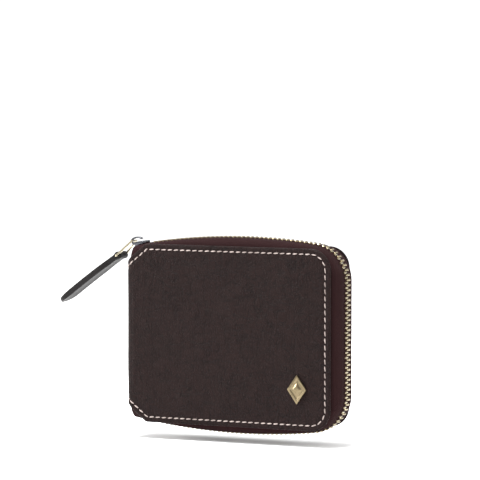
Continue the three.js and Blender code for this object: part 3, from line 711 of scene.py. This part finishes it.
def thread_form():
    """Points and faces of one stitch, lying along X with Z up, in millimetres."""
    deselect()
    bpy.ops.mesh.primitive_cylinder_add(vertices=8, radius=THREAD / 2, depth=STITCH_LENGTH,
                                        end_fill_type="TRIFAN", rotation=(0, math.pi / 2, 0))
    bpy.ops.object.transform_apply(location=True, rotation=True, scale=True)
    bpy.ops.object.mode_set(mode="EDIT")
    bpy.ops.mesh.select_all(action="SELECT")
    bpy.ops.mesh.bisect(plane_co=(-STITCH_LENGTH / 6, 0, 0), plane_no=(1, 0, 0))
    bpy.ops.mesh.select_all(action="SELECT")
    bpy.ops.mesh.bisect(plane_co=(STITCH_LENGTH / 6, 0, 0), plane_no=(1, 0, 0))
    bpy.ops.object.mode_set(mode="OBJECT")
    form = bpy.context.object
    for vertex in form.data.vertices:
        share = abs(vertex.co.x) / (STITCH_LENGTH / 2)
        waist = 1 - 0.42 * share ** 4
        vertex.co.y *= waist
        vertex.co.z = vertex.co.z * waist * 0.8 - 0.3 * share ** 3 + 0.12
    points = [v.co.copy() for v in form.data.vertices]
    faces = [tuple(p.vertices) for p in form.data.polygons]
    bpy.data.objects.remove(form)
    return points, faces


STITCH_FORM = thread_form()
print("one stitch:", len(STITCH_FORM[1]), "faces")

# %% [markdown]
# The seam's line keeps its distance from the edge. It is worked out on the hide before folding, as a
# list of points walked from the fold over the cut corner, along the top, round the free corner and down
# to the same place below.

# %% Sew both covers
def seam_line():
    """Points (walk, up) of the upper half of the seam, from the fold to the middle of the free edge."""
    points = []
    slope = CUT_UP / CUT_ALONG
    shift = STITCH_INSET * math.hypot(1, slope)
    for walk in even(SPINE_REACH + 1.2, PANEL_START, 0.4):
        points.append((walk, edge_height(walk) + STITCH_INSET / 0.8))
    cut_end = (CUT_UP + shift - STITCH_INSET) / slope
    for along in even(FOLD, cut_end, 0.4):
        points.append((along - FOLD + PANEL_START, CUT_UP - slope * along + shift))
    corner = HIDE_LENGTH - CORNER
    for walk in even(cut_end - FOLD + PANEL_START, corner, 0.5):
        points.append((walk, STITCH_INSET))
    radius = CORNER - STITCH_INSET
    for angle in even(0, math.pi / 2, 0.05):
        points.append((corner + radius * math.sin(angle), CORNER - radius * math.cos(angle)))
    for up in even(CORNER, HEIGHT / 2, 0.5):
        points.append((HIDE_LENGTH - STITCH_INSET, up))
    return points + [(HIDE_LENGTH - STITCH_INSET, HEIGHT / 2)]


def repeat_form(name, form, matrices):
    """One mesh that holds a copy of form for each matrix."""
    points, faces = form
    all_points, all_faces = [], []
    for matrix in matrices:
        first = len(all_points)
        all_points += [matrix @ p for p in points]
        all_faces += [tuple(first + k for k in face) for face in faces]
    mesh = bpy.data.meshes.new(name)
    mesh.from_pydata(all_points, [], all_faces)
    piece = bpy.data.objects.new(name, mesh)
    bpy.context.scene.collection.objects.link(piece)
    return piece


def sew(name, side, body):
    upper = seam_line()
    seam = [(w, HEIGHT - u) for w, u in upper] + [(w, u) for w, u in reversed(upper[:-1])]
    lengths = [0.0]
    for (w0, u0), (w1, u1) in zip(seam, seam[1:]):
        lengths.append(lengths[-1] + math.hypot(w1 - w0, u1 - u0))
    count = int((lengths[-1] - STITCH_LENGTH) / STITCH_PITCH)
    matrices, k = [], 0
    for number in range(count + 1):
        mark = STITCH_LENGTH / 2 + number * (lengths[-1] - STITCH_LENGTH) / count
        while lengths[k + 1] < mark:
            k += 1
        share = (mark - lengths[k]) / (lengths[k + 1] - lengths[k])
        walk = seam[k][0] + (seam[k + 1][0] - seam[k][0]) * share
        up = seam[k][1] + (seam[k + 1][1] - seam[k][1]) * share
        here, facing = hide_point(walk, up, side)
        there = hide_point(walk + (seam[k + 1][0] - seam[k][0]), up + seam[k + 1][1] - seam[k][1], side)[0]
        run = (there - here).normalized()
        lean = Matrix.Rotation(STITCH_LEAN + 0.05 * noise.noise(Vector((number, side, 0))), 3, facing)
        run = lean @ run
        cross = facing.cross(run).normalized()
        turn = Matrix((run, cross, run.cross(cross))).transposed().to_4x4()
        matrices.append(Matrix.Translation(here) @ turn @ Matrix.Scale(MM, 4))
    piece = repeat_form(name, STITCH_FORM, matrices)
    recalculate(piece)
    smooth(piece, 60)
    dress(piece, stitch_thread)
    print(name, "stitches:", len(matrices))
    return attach(piece, body)


sew("cover_front_stitches", -1, "front_half")
sew("cover_back_stitches", 1, "back_half")

# %% [markdown]
# When the wallet opens, the leather bends along its folds and stays flat elsewhere. Here the places where
# each half's panel meets its fold and where its end meets the spine are worked out, and each half's
# placement is baked into its points. The stitches each ride on one half of the wallet only, so the few
# that lie on the bend itself keep their places on that half.

# %% The fold
fold_panel = {side: spot(FOLD, side * HALF, HEIGHT / 2) for side in (-1, 1)}
fold_spine = {side: spot(0, side * SPINE_REACH, HEIGHT / 2) for side in (-1, 1)}
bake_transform(hide_front)
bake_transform(hide_back)
print("hide bends over", round(FOLD_LENGTH, 2), "mm at each fold")

# %% [markdown]
# ## The zip
# The chain's line is a long flat arc over the covers' edge, a round corner, a straight side, and the
# same again below. Tape and teeth both follow it, so it is worked out once, by the distance along it.

# %% The chain's line
CHAIN_RISE, CHAIN_SIDE_RISE = 4.6, 4.5
CREST = 63.0
CHAIN_THICKNESS = 2.2
OUTER_ARC, OUTER_TURN = 350.0, 20.0
CHAIN_START = 9.5
ARC = OUTER_ARC - CHAIN_THICKNESS / 2
TURN = OUTER_TURN - CHAIN_THICKNESS / 2
ARC_UP = HEIGHT + CHAIN_RISE - OUTER_ARC
TURN_ALONG = WIDTH + CHAIN_SIDE_RISE - OUTER_TURN
TURN_UP = ARC_UP + math.sqrt((ARC - TURN) ** 2 - (TURN_ALONG - CREST) ** 2)
ARC_END = math.asin((TURN_ALONG - CREST) / (ARC - TURN))
EDGE_INSET = 2.2


class ChainLine:
    """The chain's centre line from a start along the top edge to the same place below."""

    def __init__(self, start):
        self.start = start
        self.first_angle = math.asin((start - CREST) / ARC)
        self.arc = ARC * (ARC_END - self.first_angle)
        self.turn = TURN * (math.pi / 2 - ARC_END)
        self.side = TURN_UP - HEIGHT / 2
        self.length = 2 * (self.arc + self.turn + self.side)

    def upper(self, s):
        corner_along, corner_up = WIDTH - CORNER, HEIGHT - CORNER
        reach = CORNER - EDGE_INSET
        if s < self.arc:
            angle = self.first_angle + s / ARC
            edge = self.start + (corner_along - self.start) * s / self.arc
            cut = max(0.0, CUT_UP * (1 - edge / CUT_ALONG))
            return (CREST + ARC * math.sin(angle), ARC_UP + ARC * math.cos(angle),
                    math.sin(angle), math.cos(angle), edge, HEIGHT - EDGE_INSET - cut)
        if s < self.arc + self.turn:
            angle = ARC_END + (s - self.arc) / TURN
            across = (s - self.arc) / self.turn * math.pi / 2
            return (TURN_ALONG + TURN * math.sin(angle), TURN_UP + TURN * math.cos(angle),
                    math.sin(angle), math.cos(angle),
                    corner_along + reach * math.sin(across), corner_up + reach * math.cos(across))
        share = (s - self.arc - self.turn) / self.side
        return (TURN_ALONG + TURN, TURN_UP + (HEIGHT / 2 - TURN_UP) * share, 1.0, 0.0,
                corner_along + reach, corner_up + (HEIGHT / 2 - corner_up) * share)

    def at(self, s):
        """(along, up, out along, out up, edge along, edge up) at a distance s along the chain."""
        if s <= self.length / 2:
            return self.upper(s)
        x, z, ox, oz, ex, ez = self.upper(self.length - s)
        return x, HEIGHT - z, ox, -oz, ex, HEIGHT - ez


print("chain", round(ChainLine(CHAIN_START).length), "mm")

# %% [markdown]
# Each tape is webbing with a corded edge that the teeth clamp. From there it lies level, then domes
# down to its seam behind the cover. The grid's rows run across that profile, its columns along the
# chain, and its UV map holds millimetres both ways, for the weave.

# %% Zip tapes
TAPE_START = 3.0
TAPE = 0.6
CORD_AT = 1.9
TAPE_LEVEL = 4.9
TAPE_SEAM = 10.2
DOME_STEPS = 14
TUCK_LENGTH = 7.0
TUCK_BEND = 2.0
TUCK_CLEAR = 4.6
TUCK_CLEAR_BELOW = 0.6
TUCK_EASE = 1.2
PUCKER = 0.18
DOME_WALK = 6.5


def tape_profile():
    """(across, share of the way to the seam, lift) from the corded edge to the seam."""
    profile = [(0.95, 0.0, 0.0), (1.25, 0.0, 0.28), (1.6, 0.0, 0.42), (CORD_AT, 0.0, 0.45)]
    profile += [(2.3, 0.0, 0.35), (2.7, 0.0, 0.12), (3.1, 0.0, 0.0), (4.0, 0.0, 0.0), (TAPE_LEVEL, 0.0, 0.0)]
    for k in range(1, DOME_STEPS + 1):
        angle = k / DOME_STEPS * math.pi / 2
        across = TAPE_LEVEL + (TAPE_SEAM - TAPE_LEVEL) * math.sin(angle)
        profile.append((across, 1 - math.cos(angle), 0.0))
    return profile


def make_tape(name, side, body, node):
    line = ChainLine(TAPE_START)
    tucked = even(-TUCK_LENGTH, 0, 0.7)
    columns = tucked + even(0, line.length, 1.6) + [line.length] + [line.length - t for t in reversed(tucked)]
    profile = tape_profile()
    measured = [0.0]
    for (a0, s0, _), (a1, s1, _) in zip(profile, profile[1:]):
        measured.append(measured[-1] + math.hypot(a1 - a0, (s1 - s0) * DOME_WALK))

    def place(i, j):
        inside = min(max(columns[i], 0.0), line.length)
        x, z, ox, oz, ex, ez = line.at(inside)
        across, share, lift = profile[j]
        past = abs(columns[i] - inside)
        clear = TUCK_CLEAR if columns[i] < 0 else TUCK_CLEAR_BELOW
        tuck = min(1.0, max(0.0, (across - clear) / TUCK_EASE)) * past
        bent = min(tuck, TUCK_BEND)
        lift -= tuck - bent + bent * bent / (2 * TUCK_BEND)
        pucker = PUCKER * share * (1 - share) * 4 * noise.noise(Vector((columns[i] * 0.09, side * 5.0, 0)))
        x, z = x + (ex - x) * share, z + (ez - z) * share
        x -= bent - bent * bent / (2 * TUCK_BEND)
        return spot(x + ox * (lift + pucker), side * across, z + oz * (lift + pucker))

    piece = shaped_grid(name, len(columns), len(profile), place, lambda i, j: (columns[i], measured[j]))
    far_face = max(piece.data.polygons, key=lambda p: p.center.x)
    if far_face.normal.x < 0:
        piece.data.flip_normals()
    finished(piece, TAPE * MM, 0.0)
    smooth(piece, 60)
    dress(piece, zip_tape)
    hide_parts(node)
    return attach(piece, body)


tape_front = make_tape("zip_tape_front", -1, "front_half", "front_zip_tape")
tape_back = make_tape("zip_tape_back", 1, "back_half", "back_zip_tape")
print("tape points:", len(tape_front.data.vertices))

# %% [markdown]
# A metal tooth is a small clamp: two legs squeezed on the tape's cord, and a head that reaches past the
# middle between two heads of the other row. It starts as a cube. Its head is extruded, narrowed and
# bevelled, and it is then copied at the pitch of the chain.

# %% One tooth
PITCH = 2.54
TOOTH = 1.02
TOOTH_BACK = 2.95
TOOTH_REACH = -0.62


def tooth_form():
    """One tooth with X along the chain, Y from the middle outwards and Z up, in millimetres."""
    deselect()
    leg_front = 1.15
    bpy.ops.mesh.primitive_cube_add(size=1, location=(0, (TOOTH_BACK + leg_front) / 2, 0),
                                    scale=(TOOTH, TOOTH_BACK - leg_front, CHAIN_THICKNESS))
    bpy.ops.object.transform_apply(location=True, rotation=True, scale=True)
    form = bpy.context.object
    bpy.ops.object.mode_set(mode="EDIT")
    bpy.ops.mesh.select_all(action="DESELECT")
    bpy.ops.mesh.select_mode(type="FACE")
    bpy.ops.object.mode_set(mode="OBJECT")
    for face in form.data.polygons:
        face.select = face.normal.y < -0.9
    bpy.ops.object.mode_set(mode="EDIT")
    bpy.ops.mesh.extrude_region_move(TRANSFORM_OT_translate={"value": (0, TOOTH_REACH - leg_front, 0)})
    bpy.ops.transform.resize(value=(0.86, 1, 0.74))
    bpy.ops.mesh.select_all(action="SELECT")
    bpy.ops.mesh.bevel(offset=0.2, segments=1, affect="EDGES")
    bpy.ops.object.mode_set(mode="OBJECT")
    points = [v.co.copy() for v in form.data.vertices]
    faces = [tuple(p.vertices) for p in form.data.polygons]
    bpy.data.objects.remove(form)
    return points, faces


TOOTH_FORM = tooth_form()
print("one tooth:", len(TOOTH_FORM[0]), "points")

# %% [markdown]
# The two rows sit half a pitch apart, so that each head rests in the gap between two heads of the other
# row. On the real zip every tooth is clamped on by itself. Here a row is one mesh of copies, because the
# whole row rides on one half of the wallet.

# %% Both rows of teeth
def make_teeth(name, side, body, node):
    line = ChainLine(CHAIN_START)
    teeth = int(line.length / PITCH) - 1
    first = PITCH * (0.5 if side > 0 else 1.0)
    matrices = []
    for k in range(teeth):
        x, z, ox, oz, _, _ = line.at(first + k * PITCH)
        out = Vector((ox, 0, oz))
        outward = Vector((0, side, 0))
        run = outward.cross(out)
        turn = Matrix((run, outward, out)).transposed().to_4x4()
        matrices.append(Matrix.Translation(spot(x, 0, z)) @ turn @ Matrix.Scale(MM, 4))
    piece = repeat_form(name, TOOTH_FORM, matrices)
    recalculate(piece)
    smooth(piece, 35)
    dress(piece, zip_brass)
    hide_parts(node)
    print(name, teeth, "teeth")
    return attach(piece, body)


make_teeth("zip_teeth_front", -1, "front_half", "front_zip_teeth")
make_teeth("zip_teeth_back", 1, "back_half", "back_zip_teeth")
# The bottom stop takes the teeth's brass, with its painted shade.
refined("zip_bottom_stop", "zip_stop_crimped", 0.00035, zip_brass)

# %% [markdown]
# ## Slider, link and strap
# These have their true shapes in the frame already. What they lack is soft edges, which every cast or
# cut piece has, so each is copied, merged and bevelled.

# %% Slider and link
refined("slider_body", "slider_body_cast", 0.00022, slider_gunmetal)
refined("slider_bridge", "slider_hook", 0.00024, slider_gunmetal, 3)
refined("pull_link", "pull_link_polished", 0.00026, link_brass, 3)

# %% [markdown]
# The strap is one strip of leather, threaded through the link, folded back on itself and glued. It is
# laid out the same way here: the grid's columns start at the tip of the upper layer, run up to the link,
# turn round its bar and come back below. The two layers leave a fine seam between them, and the cut
# edges take the edge paint.

# %% Strap
STRAP_LENGTH = 43.5
STRAP_HALF = 4.8
NECK_HALF = 4.0
NECK_END, SHOULDER = 6.0, 14.0
LAYER = 1.45
LAYER_AT = 0.75
EYE_TURN = 1.32
SWAY = 0.35
CUPPING = 0.22
SKIVED, SKIVED_SHARE = 9.0, 0.62
lift_joint = next(j for j in frame["joints"] if j["name"] == "strap_lift")
eye = Vector(lift_joint["pos_m"])
STRAP_DROP = math.radians(36)
strap_run = Vector((-math.cos(STRAP_DROP), 0, -math.sin(STRAP_DROP)))
strap_up = Vector((-math.sin(STRAP_DROP), 0, math.cos(STRAP_DROP)))


def strap_half_width(t):
    """Half the strap's width at t millimetres from the eye."""
    if t < SHOULDER:
        share = min(1.0, max(0.0, (t - NECK_END) / (SHOULDER - NECK_END)))
        return NECK_HALF + (STRAP_HALF - NECK_HALF) * share * share * (3 - 2 * share)
    tip = STRAP_LENGTH - STRAP_HALF
    if t <= tip:
        return STRAP_HALF
    return math.sqrt(max(0.0, STRAP_HALF ** 2 - (t - tip) ** 2))


def strap_path():
    """Points (t, n) of the strip's middle, from the upper tip round the bar to the lower tip."""
    tip = STRAP_LENGTH - STRAP_HALF
    marks = [tip + STRAP_HALF * math.sin(k / 12 * math.pi / 2) * 0.995 for k in range(12, 0, -1)]
    marks += list(reversed(even(3.0, tip, 1.1))) + [1.9]
    upper = [(t, LAYER_AT) for t in marks]
    angles = [math.pi * k / 14 for k in range(15)]
    turn = [(-EYE_TURN * math.sin(a), EYE_TURN * math.cos(a)) for a in angles]
    lower = [(t, -LAYER_AT) for t in reversed(marks)]
    return upper + turn + lower


def make_strap():
    path = strap_path()
    rows = 11

    def place(i, j):
        t, n = path[i]
        half = strap_half_width(t)
        across = (2 * j / (rows - 1) - 1) * half
        sway = SWAY * math.sin(max(t, 0) / STRAP_LENGTH * math.pi)
        cupped = CUPPING * (1 - (across / STRAP_HALF) ** 2) * min(1.0, max(t, 0) / 8)
        place_mm = strap_run * t + strap_up * (n + sway + cupped)
        return eye + (place_mm + Vector((0, across, 0))) * MM

    piece = shaped_grid("pull_strap_leather", len(path), rows, place)
    finished(piece, LAYER * MM, 0.0, 0.00028)
    for vertex in piece.data.vertices:
        reach = (vertex.co - eye).dot(strap_run) / MM
        level = (vertex.co - eye).dot(strap_up)
        thinned = min(1.0, max(0.0, (reach - STRAP_LENGTH + SKIVED) / SKIVED))
        vertex.co -= strap_up * level * SKIVED_SHARE * thinned ** 2
    smooth(piece, 45)
    dress(piece, strap_leather)
    piece.data.materials.append(edge_paint)
    for face in piece.data.polygons:
        if abs(face.normal.dot(strap_up)) < 0.6 and abs(face.normal.y) + abs(face.normal.x) > 0.5:
            face.material_index = 1
    for face in piece.data.polygons:
        near_eye = (face.center - eye).length < 2.4 * MM
        if near_eye and abs(face.normal.y) < 0.5:
            face.material_index = 0
    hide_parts("pull_strap")
    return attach(piece, "pull_strap")


strap = make_strap()
print("strap faces with edge paint:", sum(f.material_index for f in strap.data.polygons))

# %% [markdown]
# ## Emblem
# A plain lozenge of antiqued brass, riveted near the free lower corner. A four-sided cylinder gives the
# outline, and its face is inset, sunk and raised again, so it has a rim, a groove and a low centre.

# %% Emblem
stud_low, stud_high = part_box("emblem_stud")
STUD_STEP = 0.00045


def make_emblem():
    centre_x, centre_z = (stud_low.x + stud_high.x) / 2, (stud_low.z + stud_high.z) / 2
    width, height = stud_high.x - stud_low.x, stud_high.z - stud_low.z
    back = spot(0, -HALF - 0.25, 0).y
    depth = back - stud_low.y
    deselect()
    bpy.ops.mesh.primitive_cylinder_add(vertices=4, radius=0.5, depth=1, rotation=(math.pi / 2, 0, 0))
    piece = bpy.context.object
    piece.name = "emblem_lozenge"
    piece.scale = (width, height, depth)
    bpy.ops.object.transform_apply(location=False, rotation=True, scale=True)
    piece.location = (centre_x, back - depth / 2, centre_z)
    bpy.ops.object.transform_apply(location=True, rotation=True, scale=True)
    bpy.ops.object.mode_set(mode="EDIT")
    bpy.ops.mesh.select_all(action="DESELECT")
    bpy.ops.mesh.select_mode(type="FACE")
    bpy.ops.object.mode_set(mode="OBJECT")
    for face in piece.data.polygons:
        face.select = face.normal.y < -0.9
    bpy.ops.object.mode_set(mode="EDIT")
    bpy.ops.mesh.inset(thickness=0.0011, depth=0)
    bpy.ops.mesh.inset(thickness=0.0004, depth=-STUD_STEP)
    bpy.ops.mesh.inset(thickness=0.0006, depth=0)
    bpy.ops.mesh.inset(thickness=0.0009, depth=STUD_STEP * 1.5)
    bpy.ops.object.mode_set(mode="OBJECT")
    soft = piece.modifiers.new("soft_edge", "BEVEL")
    soft.width = 0.00016
    soft.segments = 2
    soft.limit_method = "ANGLE"
    apply_modifiers(piece)
    smooth(piece, 30)
    dress(piece, emblem_brass)
    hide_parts("emblem_stud")
    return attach(piece, "front_half")


emblem = make_emblem()
print("emblem", [round(d / MM, 1) for d in emblem.dimensions], "mm")

# %% [markdown]
# ## Inside
# Linings, bill walls and card pockets show when the wallet is opened. Their panels are right as they
# are, so each gets a rounded edge and its own finish.

# %% Linings and pockets
for node in ("front_lining", "back_lining", "spine_lining"):
    refined(node, f"{node}_twill", 0.0002, lining_fabric)
pocket_nodes = sorted(n for n in frame["nodes"] if "pocket" in n or "bill_wall" in n)
for node in pocket_nodes:
    refined(node, f"{node}_leather", 0.0002, pocket_leather)
dress(frame["nodes"]["emblem_washer"], emblem_brass)
print("pockets and walls:", len(pocket_nodes))

# %% [markdown]
# Each pocket's mouth is hemmed: its edge is turned over and sewn with a fine dark thread, 2 mm below.
# The same stitch serves at a smaller size, copied along a straight line.

# %% Hems of the pockets
HEM_INSET = 2.0
HEM_PITCH = 2.3
HEM_SCALE = 0.62
HEM_SIDE_INSET = 3.0


def hem(node):
    """A row of fine stitches under the mouth of one pocket, on the side that faces into the wallet."""
    low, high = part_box(node)
    side = 1 if low.y > MIDDLE_Y else -1
    face_y = low.y if side > 0 else high.y
    start, end = low.x + HEM_SIDE_INSET * MM, high.x - HEM_SIDE_INSET * MM
    count = int((end - start) / (HEM_PITCH * MM))
    facing, run = Vector((0, -side, 0)), Vector((1, 0, 0))
    turn = Matrix((run, facing.cross(run), facing)).transposed().to_4x4()
    matrices = []
    for k in range(count + 1):
        place = Vector((start + (end - start) * k / count, face_y, high.z - HEM_INSET * MM))
        matrices.append(Matrix.Translation(place) @ turn @ Matrix.Scale(MM * HEM_SCALE, 4))
    piece = repeat_form(f"{node}_hem", STITCH_FORM, matrices)
    recalculate(piece)
    smooth(piece, 60)
    dress(piece, hem_thread)
    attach(piece, frame["nodes"][node]["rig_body"])
    return count + 1


hem_stitches = sum(hem(node) for node in pocket_nodes)
print("hem stitches:", hem_stitches)

# %% [markdown]
# Last, the frame's box is printed, in millimetres.

# %% Sizes and finish
print("CAD box:", [round(v / MM, 1) for p in CAD_BOX for v in p])
